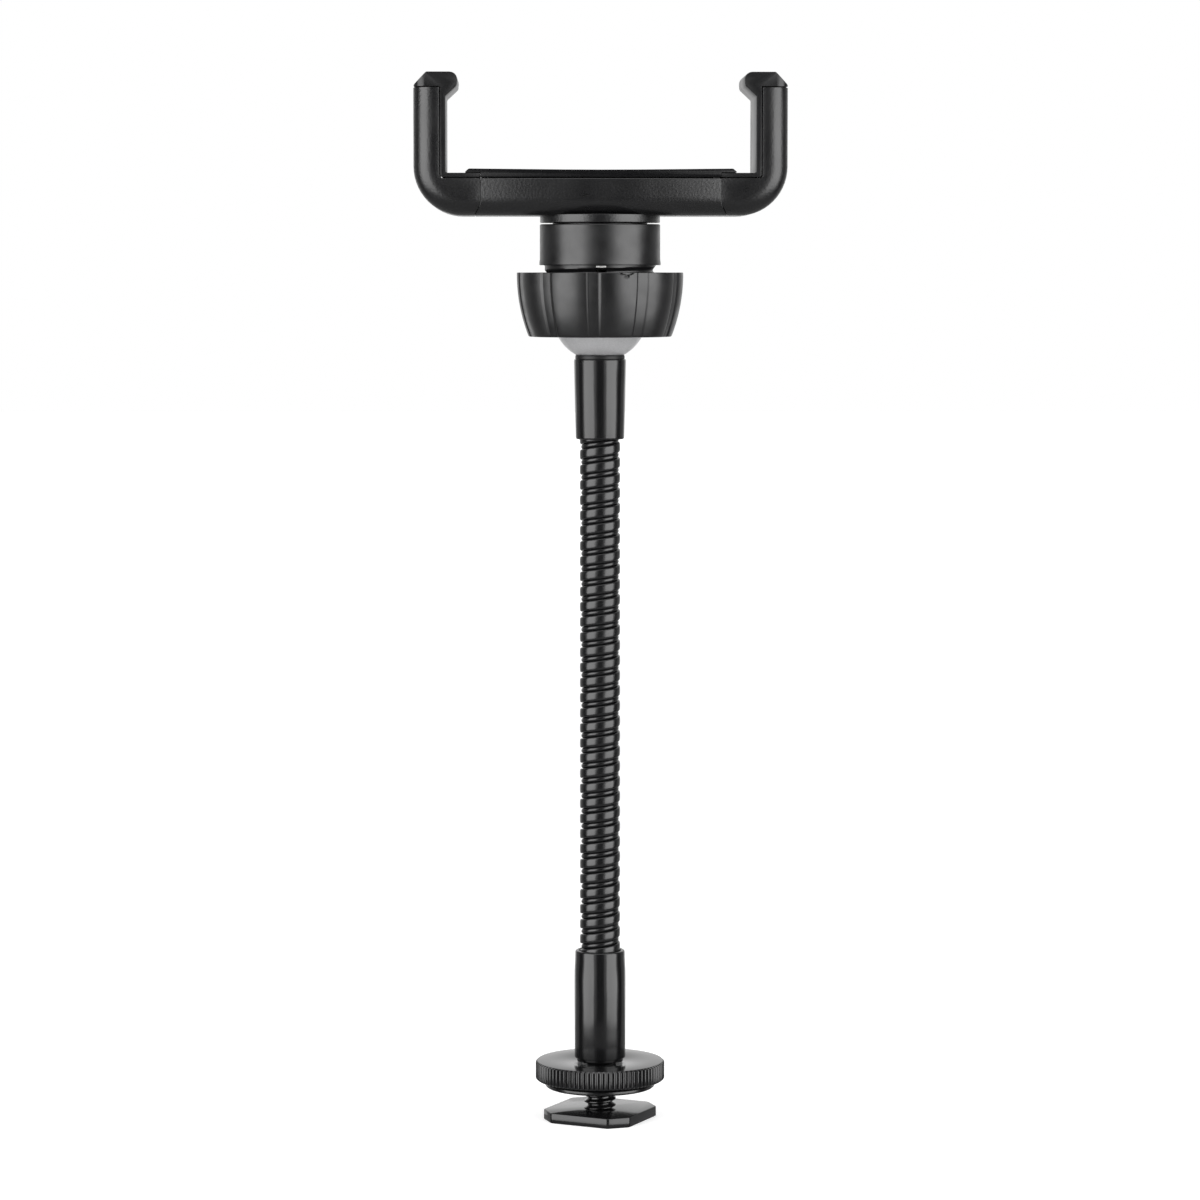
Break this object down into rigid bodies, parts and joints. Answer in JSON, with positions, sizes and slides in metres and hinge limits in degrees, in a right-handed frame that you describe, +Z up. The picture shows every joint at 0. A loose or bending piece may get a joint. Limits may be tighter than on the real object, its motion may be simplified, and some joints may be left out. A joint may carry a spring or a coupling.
{
  "type": "phone clamp holder",
  "caption": "Sprung two-jaw phone clamp on a ball head, with a gooseneck and a threaded cold-shoe foot.",
  "frame": {"origin": "middle of the foot plate's underside, on the gooseneck's axis", "axes": "+Z up along the gooseneck, +X along the opening of the jaws, -Y the front"},
  "size_m": [0.071, 0.032, 0.2023],
  "materials": {
    "black_metal": "gloss black plating on turned metal",
    "neck_wire": "satin black plating on drawn steel wire",
    "satin_zinc": "satin, cast and tumbled",
    "white_nylon": "plain moulded nylon",
    "gloss_black": "gloss moulded plastic",
    "matte_black": "fine moulded grain",
    "black_rubber": "smooth dull rubber",
    "bright_steel": "zinc-plated steel"
  },
  "bodies": {
    "base": {"foot_plate": "black_metal", "stud": "black_metal", "lower_sleeve": "black_metal", "neck_coil": "neck_wire", "neck_wedge_wire": "neck_wire"},
    "washer": {"nut_washer": "black_rubber"},
    "clamp_nut": {"thumb_nut": "black_metal"},
    "neck_top": {"upper_sleeve": "black_metal", "neck_ring": "black_rubber", "ball": "satin_zinc"},
    "seat": {"ball_seat": "white_nylon"},
    "head": {"socket": "gloss_black"},
    "lock": {"ball_lock_nut": "gloss_black"},
    "clamp": {"clamp_body": "matte_black", "body_cover": "matte_black", "cover_screws": "bright_steel", "centre_pad": "black_rubber", "swivel_screw": "bright_steel", "swivel_washer": "bright_steel", "left_spring": "bright_steel", "right_spring": "bright_steel"},
    "jaw_left": {"left_jaw": "matte_black", "left_liner": "black_rubber"},
    "jaw_right": {"right_jaw": "matte_black", "right_liner": "black_rubber"}
  },
  "joints": [
    {"name": "washer_slide", "type": "slide", "parent": "base", "child": "washer", "axis": [0, 0, 1], "range_m": [-0.0042, 0.00055]},
    {"name": "thumb_nut_turn", "type": "hinge", "parent": "washer", "child": "clamp_nut", "pos_m": [0, 0, 0.0096], "axis": [0, 0, 1], "range_deg": [-1191, 156.5]},
    {"name": "neck_bend", "type": "hinge", "parent": "base", "child": "neck_top", "pos_m": [0, 0, 0.08282], "axis": [1, 0, 0], "range_deg": [-60, 60], "deforming": ["neck_coil", "neck_wedge_wire"]},
    {"name": "ball_pan", "type": "hinge", "parent": "neck_top", "child": "seat", "pos_m": [0, 0, 0.1567], "axis": [0, 0, 1], "continuous": true},
    {"name": "ball_tilt", "type": "hinge", "parent": "seat", "child": "head", "pos_m": [0, 0, 0.1567], "axis": [0, 1, 0], "range_deg": [-28, 28]},
    {"name": "lock_nut_turn", "type": "hinge", "parent": "head", "child": "lock", "pos_m": [0, 0, 0.1584], "axis": [0, 0, 1], "range_deg": [-180, 0]},
    {"name": "clamp_swivel", "type": "hinge", "parent": "head", "child": "clamp", "pos_m": [0, 0, 0.1739], "axis": [0, 0, 1], "continuous": true},
    {"name": "left_jaw_slide", "type": "slide", "parent": "clamp", "child": "jaw_left", "axis": [-1, 0, 0], "range_m": [0, 0.0125], "stiffness_N_per_m": 150, "springref_m": -0.02, "deforming": ["left_spring"]},
    {"name": "right_jaw_slide", "type": "slide", "parent": "clamp", "child": "jaw_right", "axis": [1, 0, 0], "range_m": [0, 0.0125], "stiffness_N_per_m": 150, "springref_m": -0.02, "deforming": ["right_spring"]}
  ],
  "couplings": [
    {"joint": "thumb_nut_turn", "follows": "washer_slide", "rad_per_m": 4947.4}
  ]
}
